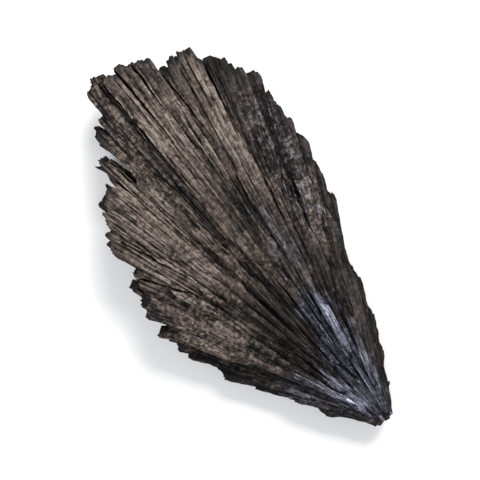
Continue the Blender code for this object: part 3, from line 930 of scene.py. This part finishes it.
def drop_pockets(mesh):
    """Keeps the outer skin and drops the pockets sealed between crystals."""
    skins = []
    left = set(mesh.verts)
    while left:
        skin, edge = set(), {left.pop()}
        while edge:
            skin |= edge
            edge = {e.other_vert(v) for v in edge for e in v.link_edges} - skin
        left -= skin
        skins.append(skin)
    outer = max(skins, key=len)
    bmesh.ops.delete(mesh, geom=[v for v in mesh.verts if v not in outer], context="VERTS")


def fused(name, crystals, cutters):
    """The crystals of a collection joined into one skin, cut, and moved to its place."""
    first = crystals.objects[0]
    crystals.objects.unlink(first)
    stone = bpy.data.objects.new(name, first.data)
    bpy.data.objects.remove(first)
    bpy.context.scene.collection.objects.link(stone)
    for label, operation, operands in (
        ("join", "UNION", crystals),
        ("cut", "DIFFERENCE", cutters),
    ):
        step = stone.modifiers.new(label, "BOOLEAN")
        step.operation = operation
        step.operand_type = "COLLECTION"
        step.collection = operands
        step.solver = "MANIFOLD"
    graph = bpy.context.evaluated_depsgraph_get()
    data = bpy.data.meshes.new_from_object(stone.evaluated_get(graph))
    stone.modifiers.clear()
    mesh = bmesh.new()
    mesh.from_mesh(data)
    drop_pockets(mesh)
    bmesh.ops.triangulate(mesh, faces=mesh.faces, ngon_method="BEAUTY")
    bmesh.ops.translate(mesh, verts=mesh.verts, vec=-PLAN_MIDDLE)
    mesh.to_mesh(data)
    mesh.free()
    stone.data = data
    for group in (crystals, cutters):
        for obj in list(group.objects):
            bpy.data.objects.remove(obj)
        bpy.data.collections.remove(group)
    return stone


def new_group(name):
    made = bpy.data.collections.new(name)
    bpy.context.scene.collection.children.link(made)
    return made


def ease(value):
    t = np.clip(value, 0.0, 1.0)
    return t * t * (3.0 - 2.0 * t)


def painted(plan, ground, strokes):
    """Strokes painted over a ground, for an array of plan points in millimetres."""
    for s in strokes:
        line = np.array([s.x1 - s.x0, s.y1 - s.y0])
        away = plan - np.array([s.x0, s.y0])
        share = np.clip(away @ line / (line @ line), 0.0, 1.0)
        gap = np.linalg.norm(away - share[:, None] * line, axis=1)
        cover = s.cover * ease(STROKE_EDGE * (1.0 - gap / s.reach))
        ground = ground + (s.tone - ground) * cover
    return ground


def rim_share(plan):
    """How far out each plan point lies, from 0 at the foot to 1 at the rim."""
    angles = np.linspace(*RIM_SWING, 60)
    rims = [outline_tip(angle).length / MM for angle in angles]
    away = np.arctan2(plan[:, 0], plan[:, 1])
    return np.hypot(plan[:, 0], plan[:, 1]) / np.interp(away, angles, rims)


def wandering_plan(co):
    """Plan points from the foot in millimetres, shifted unevenly so that strokes fray."""
    plan = (co[:, :2] + np.array(PLAN_MIDDLE)[:2]) / MM
    shifts = [
        [
            noise.noise(Vector((x * across, y * along, layer)))
            for (across, along), layer in zip(FRAY_FLOW, (3.0, 9.0))
        ]
        for x, y in plan
    ]
    return plan + np.array(shifts) * np.array(FRAY)


def read_vertices(data, what):
    """The places or the normals of a mesh's vertices, one row each."""
    values = np.empty(len(data.vertices) * 3, np.float32)
    data.vertices.foreach_get(what, values)
    return values.reshape(-1, 3).astype(float)


def move_vertices(data, co):
    data.vertices.foreach_set("co", co.astype(np.float32).ravel())
    data.update()


def roughen(obj, depth):
    """Wears the skin inwards with an uneven grain, deeper where it is coarse."""
    data = obj.data
    co = read_vertices(data, "co")
    ground, broad, fine = GRAIN
    large, small = GRAIN_SCALES
    grain = np.array([
        ground + broad * noise.noise(p * large) + fine * noise.noise(p * small)
        for p in map(Vector, co / MM)
    ])
    coarse = painted(wandering_plan(co), np.zeros(len(co)), COARSE)
    wear = depth * np.clip(grain, 0.0, GRAIN_MOST) * (1.0 + COARSENING * coarse)
    co -= read_vertices(data, "normal") * wear[:, None]
    move_vertices(data, co)


def mark_skin(obj):
    """Keeps a skin in the solid's box, and marks its tone, gloss, coarseness and hollows."""
    data = obj.data
    low, high = (np.array(corner) for corner in CAD_BOX)
    co = np.clip(read_vertices(data, "co"), low, high)
    move_vertices(data, co)
    count = len(co)
    edges = np.empty(len(data.edges) * 2, int)
    data.edges.foreach_get("vertices", edges)
    a, b = edges.reshape(-1, 2).T
    degree = np.bincount(a, minlength=count) + np.bincount(b, minlength=count)
    smooth = co.copy()
    for _ in range(HOLLOW_STEPS):
        total = np.stack([
            np.bincount(a, smooth[b, axis], count) + np.bincount(b, smooth[a, axis], count)
            for axis in range(3)
        ], 1)
        smooth = 0.5 * smooth + 0.5 * total / degree[:, None]
    # How deep each point lies in a hollow of the skin; the material paints shade there by it.
    hollow = ((smooth - co) * read_vertices(data, "normal")).sum(1) / MM
    plan = wandering_plan(co)
    low, high = WORN_FROM
    ground = FRESH_TONE + (WORN_TONE - FRESH_TONE) * ease((plan[:, 1] - low) / (high - low))
    low, high = DULL_RIM
    rim = ease((rim_share(plan) - low) / (high - low))
    marks = {
        "tone": painted(plan, ground, STROKES) - RIM_DARKENING * rim,
        "gloss": painted(plan, np.zeros(count), GLOSSY),
        "coarse": painted(plan, np.zeros(count), COARSE),
        "hollow": hollow,
    }
    for name, values in marks.items():
        layer = data.attributes.new(name, "FLOAT", "POINT")
        layer.data.foreach_set("value", values.astype(np.float32))


def finish_piece(obj):
    mark_skin(obj)
    obj.data.set_sharp_from_angle(angle=SHARP_ANGLE)
    obj.data.materials.clear()
    obj.data.materials.append(stone_material())
    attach(obj, "root")
    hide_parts("tourmaline_fan")


def finish_level(name, crystals, cutters, sizes):
    """Joins a level of crystals, rests it on the floor, wears its skin and finishes it."""
    floor_cutter(cutters)
    stone = fused(name, crystals, cutters)
    roughen(stone, sizes.grain_depth)
    finish_piece(stone)


class Wire:
    """A shader socket that takes part in sums: each operator adds one Math node."""

    def __init__(self, tree, socket):
        self.tree = tree
        self.socket = socket

    def math(self, operation, first, second):
        settings = {"operation": operation}
        return add_node(self.tree, "ShaderNodeMath", settings, {0: first, 1: second})

    def __add__(self, other):
        return self.math("ADD", self, other)

    __radd__ = __add__

    def __sub__(self, other):
        return self.math("SUBTRACT", self, other)

    def __rsub__(self, other):
        return self.math("SUBTRACT", other, self)

    def __mul__(self, other):
        return self.math("MULTIPLY", self, other)

    __rmul__ = __mul__

    def clamped(self, low=0.0, high=1.0):
        return self.math("MINIMUM", self.math("MAXIMUM", self, low), high)


def add_node(tree, kind, settings=None, inputs=None, output=0):
    """Adds a node with its settings made first, then its sockets, and wraps one output."""
    node = tree.nodes.new(kind)
    for name, value in (settings or {}).items():
        if name == "stops":
            ramp = node.color_ramp
            while len(ramp.elements) < len(value):
                ramp.elements.new(0.5)
            for element, (place, colour) in zip(ramp.elements, value):
                element.position = place
                element.color = colour
        else:
            setattr(node, name, value)
    for name, value in (inputs or {}).items():
        if isinstance(value, Wire):
            tree.links.new(value.socket, node.inputs[name])
        else:
            node.inputs[name].default_value = value
    return Wire(tree, node.outputs[output]) if node.outputs else None


def empty_material(name):
    made = bpy.data.materials.new(name)
    made.use_nodes = True
    made.node_tree.nodes.clear()
    return made, made.node_tree


def stone_material():
    """Fibrous skin: colour runs fresh to weathered, streaked, with painted shade in hollows."""
    made = bpy.data.materials.get("tourmaline_skin")
    if made:
        return made
    look = bpy.context.scene.tourmaline_colours
    made, tree = empty_material("tourmaline_skin")

    def put(kind, settings=None, inputs=None, output=0):
        return add_node(tree, kind, settings, inputs, output)

    def grain(place, scale, detail, roughness):
        return put(
            "ShaderNodeTexNoise",
            {"noise_dimensions": "3D"},
            {"Vector": place, "Scale": scale, "Detail": detail, "Roughness": roughness},
        )

    def ramp(value, *stops):
        rows = tuple((place, (*colour, 1.0)) for place, colour in stops)
        return put("ShaderNodeValToRGB", {"stops": rows}, {0: value})

    def vector_math(operation, first, second):
        return put("ShaderNodeVectorMath", {"operation": operation}, {0: first, 1: second})

    def streaks(across, along, detail, roughness):
        """Grain drawn out along the fibres, and another one on each crystal."""
        drawn = vector_math("MULTIPLY", fibre, (across, along, 1.0))
        return grain(vector_math("ADD", drawn, shift), 1.0, detail, roughness)

    fibre = put("ShaderNodeUVMap", {"uv_map": "fibre"})
    make = put("ShaderNodeUVMap", {"uv_map": "make"})
    own_tone = put("ShaderNodeSeparateXYZ", None, {0: make}, 0)
    broken = put("ShaderNodeSeparateXYZ", None, {0: make}, 1)
    tone, hollow, gloss, coarse = (
        put("ShaderNodeAttribute", {"attribute_name": name}, None, 2)
        for name in ("tone", "hollow", "gloss", "coarse")
    )
    solid = put("ShaderNodeTexCoord", None, None, 3)
    shift = put("ShaderNodeCombineXYZ", None, {0: own_tone * 311.0, 2: own_tone * 173.0})

    streak = streaks(1.6, 0.10, 5.0, 0.65)
    thread = streaks(5.0, 0.30, 3.0, 0.6)
    dash = streaks(1.7, 0.42, 2.0, 0.5)
    rib = streaks(3.2, 0.08, 1.0, 0.5) - 0.5
    speck = grain(solid, 1500.0, 2.0, 0.6)
    lump = grain(solid, 700.0, 3.0, 0.6)
    cloud = grain(solid, 190.0, 3.0, 0.55)

    along = (broken * -0.7 + 1.0) * (coarse * -0.5 + 1.0)
    lines = (streak - 0.5) * along
    threads = (thread - 0.5) * along
    pits = ((dash - 0.555) * 8.0).clamped()
    grains = ((speck - 0.5) * 2.0 + (lump - 0.5) * 1.2) * (coarse * 1.2 + 1.0)
    vigour = (tone * 0.5 + 0.5).clamped(0.5, 0.82)
    marks = lines * 1.4 + threads * 1.1 + grains * 0.85 + (cloud - 0.5) * 0.4 - pits * 0.45
    wear_and_shade = tone + own_tone + marks * vigour
    # Painted shade: the colour is darkened in the skin's hollows; broken ends are darker too.
    wear_and_shade = wear_and_shade - (hollow * 3.2).clamped(-0.25, 0.6) - broken * 0.6
    weathered = ramp(
        wear_and_shade,
        (0.00, look.black),
        (0.24, look.dark),
        (0.42, look.grey),
        (0.62, look.brown),
        (0.88, look.pale),
        (1.00, look.chalk),
    )
    # Painted highlight: where gloss is above 1, a bright patch is painted into the colour.
    bright = (gloss - 1.0).clamped() * (lump * 6.5 - 2.5)
    # Painted light on fresh faces: ridges and grain are lit brighter, hollows painted darker.
    painted_ridge_light = rib * 5.0 + threads * 1.8 + (speck - 0.5) * 1.8 - hollow * 1.6 - pits * 0.4
    painted_ridge_light = painted_ridge_light + bright + 0.36
    # Fresh faces: blue-black, lifted by painted reflection and painted glints on the ridges.
    fresh = ramp(
        painted_ridge_light * 0.5,
        (0.025, look.fresh),
        (0.25, look.blue),
        (0.55, look.painted_glint),
        (1.00, look.painted_sparkle),
    )
    low, high = look.fresh_roughness, look.worn_roughness
    height = lines * 0.8 + threads * 0.5 + grains * 0.6 - pits * 0.8 + rib * gloss
    relief = {"Strength": 1.0, "Distance": BUMP_DISTANCE, "Height": height}
    bump = put("ShaderNodeBump", None, relief)

    def skin(**look):
        sockets = {name.replace("_", " "): value for name, value in look.items()}
        return put("ShaderNodeBsdfPrincipled", None, {**sockets, "Normal": bump})

    worn_skin = skin(
        Base_Color=weathered,
        Roughness=((speck - 0.5) * 0.3 + high).clamped(0.4, 0.95),
        Specular_IOR_Level=WORN_SPECULAR,
    )
    fresh_skin = skin(
        Base_Color=fresh,
        Roughness=((lump - 0.5) * 0.5 + low).clamped(0.15, 0.7),
        IOR=FRESH_IOR,
        Specular_IOR_Level=FRESH_SPECULAR,
    )
    cover = (gloss * 1.5 + (lump - 0.5) * 1.2 - broken * 0.5 - 0.2).clamped()
    surface = put("ShaderNodeMixShader", None, {0: cover, 1: worn_skin, 2: fresh_skin})
    put("ShaderNodeOutputMaterial", None, {"Surface": surface})
    return made


def floor_paint(colour):
    made, tree = empty_material("floor_paint")
    look = {"Base Color": (*colour, 1.0), "Roughness": FLOOR_ROUGHNESS}
    surface = add_node(tree, "ShaderNodeBsdfPrincipled", None, look)
    add_node(tree, "ShaderNodeOutputMaterial", None, {"Surface": surface})
    return made


def skin_height(trees, spot):
    """Height of the highest skin over a point of the plan, or None past the rim."""
    start = Vector((spot.x, spot.y, 0.0)) - PLAN_MIDDLE
    start.z = 2.0 * CAD_BOX[1].z
    hits = [tree.ray_cast(start, Vector((0.0, 0.0, -1.0)))[0] for tree in trees]
    return max((hit.z for hit in hits if hit), default=None)


def crack_gap(spot):
    """Distance in plan from a point to the nearest open crack."""
    gaps = []
    for c in CRACKS:
        inner, outer = crack_ends(c)
        line, away = outer - inner, spot - inner
        share = min(max(away.dot(line) / line.length_squared, 0.0), 1.0)
        gaps.append((away - line * share).length)
    return min(gaps)


def lay_splinter(mesh, pattern, dice, trees, lift, records):
    """One splinter along the fibres, half sunk in the skin; both its ends are broken."""
    angle = dice.uniform(*SPLINTER_SWING)
    kind = dice.choices(SPLINTERS, [k.share for k in SPLINTERS])[0]
    length = dice.uniform(*kind.length) * MM
    rim = outline_tip(angle).length
    near = dice.uniform(*SPLINTER_PLACE) ** SPLINTER_CROWDING * (rim - length)
    if near < SPLINTER_NEAREST:
        return
    turned = angle * dice.uniform(*SPLINTER_FAN)
    aim = heading(turned + dice.uniform(-SPLINTER_TURN, SPLINTER_TURN))
    spots = [
        heading(angle) * near + aim * length * ring / (SPLINTER_RINGS - 1)
        for ring in range(SPLINTER_RINGS)
    ]
    heights = [skin_height(trees, spot) for spot in spots]
    if None in heights:
        return
    once, slope = SPLINTER_UNEVEN
    if max(heights) - min(heights) > once + slope * length:
        return
    level = [
        (heights[max(0, n - 1)] + heights[n] + heights[min(SPLINTER_RINGS - 1, n + 1)]) / 3
        for n in range(SPLINTER_RINGS)
    ]
    lift *= kind.lift * MM * dice.uniform(*SPLINTER_RISE)
    narrow = smoothstep(0.0, 0.5, near / FAN_LENGTH)
    half_width = 0.5 * dice.uniform(*kind.width) * MM
    half_width *= SPLINTER_FOOT + (1.0 - SPLINTER_FOOT) * narrow
    half_thick = 0.5 * dice.uniform(*kind.thick) * MM
    fades = dice.random() < SPLINTER_FADING
    tone = dice.uniform(*SPLINTER_TONE)
    corners = range(SPLINTER_SIDES * SPLINTER_RINGS)
    jitter = [dice.uniform(*SPLINTER_UNEVENNESS) for _ in corners]
    if min(map(crack_gap, spots)) < half_width + SPLINTER_CLEARANCE:
        return
    near_swell, loss = SPLINTER_ENDS
    beside = Vector((aim.y, -aim.x))
    copied = bmesh.ops.duplicate(mesh, geom=pattern)["geom"]
    for vert in [part for part in copied if isinstance(part, bmesh.types.BMVert)]:
        ring = round((vert.co.z + 0.5) * (SPLINTER_RINGS - 1))
        k = corner_of(vert, SPLINTER_SIDES)
        reach = jitter[ring * SPLINTER_SIDES + k]
        share = ring / (SPLINTER_RINGS - 1)
        swell = near_swell + (1.0 - near_swell) * smoothstep(0.0, 0.35, share)
        if fades:
            swell *= 1.0 - loss * smoothstep(0.65, 1.0, share)
        side = vert.co.x * half_width * reach * swell
        top = level[ring] + lift * (2.0 * swell - 1.0)
        spot = spots[ring] + beside * side
        if ring in (0, SPLINTER_RINGS - 1):
            spot = spot + aim * (reach - 0.9) * SPLINTER_BREAK * MM
        height = top - half_thick + half_thick * vert.co.y * reach
        records[vert] = (k * 2.0 * half_width / MM, (near + length * share) / MM, tone)
        vert.co = Vector((spot.x, spot.y, height)) - PLAN_MIDDLE


def splinters(sizes, skins):
    """Fine splinters over the whole upper side, as one piece."""
    graph = bpy.context.evaluated_depsgraph_get()
    trees = [BVHTree.FromObject(skin, graph) for skin in skins]
    dice = random.Random(SPLINTER_SEED)
    mesh = prism(SPLINTER_SIDES, SPLINTER_RINGS)
    pattern = [*mesh.verts, *mesh.edges, *mesh.faces]
    records = {}
    for _ in range(sizes.splinter_count):
        lay_splinter(mesh, pattern, dice, trees, sizes.splinter_lift, records)
    spare = [part for part in pattern if isinstance(part, bmesh.types.BMVert)]
    bmesh.ops.delete(mesh, geom=spare, context="VERTS")
    fibre = mesh.loops.layers.uv.new("fibre")
    make = mesh.loops.layers.uv.new("make")
    for face in mesh.faces:
        for loop in face.loops:
            u, v, tone = records[loop.vert]
            loop[fibre].uv = (u, v)
            loop[make].uv = (tone, 0.0)
    bmesh.ops.recalc_face_normals(mesh, faces=mesh.faces)
    return placed_object("splinters", mesh, bpy.context.scene.collection)


class TOURMALINE_OT_upper_crystals(bpy.types.Operator):
    """Grow the upper level of crystals with its ledges, needles and cracks"""

    bl_idname = "tourmaline.upper_crystals"
    bl_label = "Grow upper crystals"

    def execute(self, context):
        sizes = context.scene.tourmaline_sizes
        crystals, cutters = new_group("upper"), new_group("upper_cutters")
        grow_upper(crystals, sizes)
        grow_ledges(crystals, sizes)
        grow_needles(crystals, sizes)
        open_cracks(cutters, "crack", CRACKS, OPEN_SWELL)
        open_cracks(cutters, "fine", fine_cracks(sizes.crack_count), FINE_SWELL)
        finish_level("upper_crystals", crystals, cutters, sizes)
        return {"FINISHED"}


class TOURMALINE_OT_lower_crystals(bpy.types.Operator):
    """Grow the two lower levels of crystals round the heart of the stone"""

    bl_idname = "tourmaline.lower_crystals"
    bl_label = "Grow lower crystals"

    def execute(self, context):
        sizes = context.scene.tourmaline_sizes
        crystals, cutters = new_group("lower"), new_group("lower_cutters")
        heart(crystals)

        def middle_base(lift, start):
            return under_crown(lift - MIDDLE_DEPTH, start)

        grow_lower(
            crystals, sizes, "middle", MIDDLE_COUNT, MIDDLE_THICK, middle_base, MIDDLE_STARTS,
            MIDDLE_HABIT, MIDDLE_SEED,
        )
        grow_lower(
            crystals, sizes, "bottom", BOTTOM_COUNT, BOTTOM_THICK, over_keel, BOTTOM_STARTS,
            BOTTOM_HABIT, BOTTOM_SEED,
        )
        open_cracks(cutters, "crack", CRACKS, OPEN_SWELL)
        finish_level("lower_crystals", crystals, cutters, sizes)
        return {"FINISHED"}


class TOURMALINE_OT_splinters(bpy.types.Operator):
    """Lay fine splinters along the fibres, half sunk in the crystals' skins"""

    bl_idname = "tourmaline.splinters"
    bl_label = "Lay splinters"

    def execute(self, context):
        skins = [bpy.data.objects[name] for name in ("upper_crystals", "lower_crystals")]
        finish_piece(splinters(context.scene.tourmaline_sizes, skins))
        return {"FINISHED"}


class TOURMALINE_OT_stage(bpy.types.Operator):
    """Set the floor, the soft lights and the camera above the stone"""

    bl_idname = "tourmaline.stage"
    bl_label = "Set stage"

    def execute(self, context):
        look = context.scene.tourmaline_stage
        scene = context.scene
        mesh = bmesh.new()
        bmesh.ops.create_grid(mesh, x_segments=1, y_segments=1, size=FLOOR_SIZE)
        floor = placed_object("floor", mesh, scene.collection)
        floor.data.materials.append(floor_paint(look.floor_colour))
        sine, cosine = math.sin(ROLL), math.cos(ROLL)
        for name, power, (place, size, tint) in (
            ("key_light", look.key_power, KEY),
            ("fill_light", look.fill_power, FILL),
        ):
            lamp = bpy.data.lights.new(name, "AREA")
            lamp.energy = power
            lamp.size = size
            lamp.color = tint
            holder = bpy.data.objects.new(name, lamp)
            x, y, z = place
            turned = Vector((x * cosine - y * sine, x * sine + y * cosine, z))
            holder.location = turned
            holder.rotation_euler = (-turned).to_track_quat("-Z", "Y").to_euler()
            scene.collection.objects.link(holder)
        world = bpy.data.worlds.new("studio")
        world.use_nodes = True
        shade = world.node_tree.nodes["Background"]
        shade.inputs["Color"].default_value = (1.0, 1.0, 1.0, 1.0)
        shade.inputs["Strength"].default_value = SKY_STRENGTH
        scene.world = world
        scene.view_settings.view_transform = "Standard"
        lens = bpy.data.cameras.new("camera")
        lens.lens = LENS
        lens.clip_start = 0.01
        camera = bpy.data.objects.new("camera", lens)
        distance = look.view_width * lens.lens / lens.sensor_width
        camera.location = (0.0, CAMERA_SHIFT, STONE_TOP + distance)
        camera.rotation_euler = (0.0, 0.0, ROLL)
        scene.collection.objects.link(camera)
        scene.camera = camera
        return {"FINISHED"}


class TOURMALINE_PT_panel(bpy.types.Panel):
    """The fan's sizes and colours, and the steps that make it"""

    bl_label = "Tourmaline fan"
    bl_idname = "TOURMALINE_PT_panel"
    bl_space_type = "VIEW_3D"
    bl_region_type = "UI"
    bl_category = "Tourmaline"

    def draw(self, context):
        layout = self.layout
        for group in (
            context.scene.tourmaline_sizes,
            context.scene.tourmaline_colours,
            context.scene.tourmaline_stage,
        ):
            for name in group.__annotations__:
                layout.prop(group, name)
        for step in STEPS:
            layout.operator(step.bl_idname)


STEPS = (
    TOURMALINE_OT_upper_crystals,
    TOURMALINE_OT_lower_crystals,
    TOURMALINE_OT_splinters,
    TOURMALINE_OT_stage,
)
GROUPS = {
    "tourmaline_sizes": FanSizes,
    "tourmaline_colours": FanColours,
    "tourmaline_stage": StageLook,
}


def register():
    for name, group in GROUPS.items():
        bpy.utils.register_class(group)
        setattr(bpy.types.Scene, name, PointerProperty(type=group))
    for step in (*STEPS, TOURMALINE_PT_panel):
        bpy.utils.register_class(step)


def unregister():
    for step in (TOURMALINE_PT_panel, *reversed(STEPS)):
        bpy.utils.unregister_class(step)
    for name, group in reversed(GROUPS.items()):
        delattr(bpy.types.Scene, name)
        bpy.utils.unregister_class(group)


def main():
    clear_stray_objects()
    register()
    bpy.ops.tourmaline.upper_crystals()
    bpy.ops.tourmaline.lower_crystals()
    bpy.ops.tourmaline.splinters()
    bpy.ops.tourmaline.stage()


if __name__ == "__main__":
    main()
